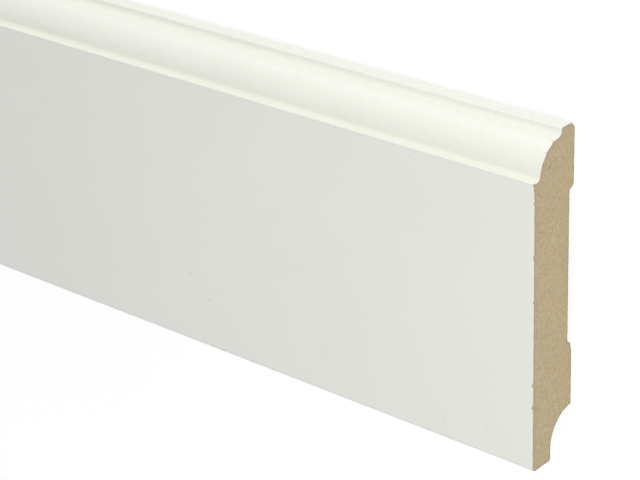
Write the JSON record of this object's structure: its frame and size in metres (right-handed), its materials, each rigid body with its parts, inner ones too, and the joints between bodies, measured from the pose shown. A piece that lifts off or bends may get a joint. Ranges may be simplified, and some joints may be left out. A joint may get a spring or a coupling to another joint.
{
  "type": "skirting board length",
  "caption": "Length of white primed fibreboard skirting with an ovolo moulding along its top, a relieved back and a cable cove behind its foot.",
  "frame": {"origin": "under the middle of the board's length and height, in the plane of its back pads, on which it lies", "axes": "+X along the board, towards the end the picture shows, +Y from the foot edge to the moulded top edge, +Z out of the face"},
  "size_m": [2.4, 0.1, 0.018],
  "materials": {
    "primed_mdf": "matt white primer on the face, moulding, top and foot, bare tan fibreboard on the back and the sawn ends"
  },
  "bodies": {
    "root": {"skirting_board": "primed_mdf"}
  },
  "joints": []
}
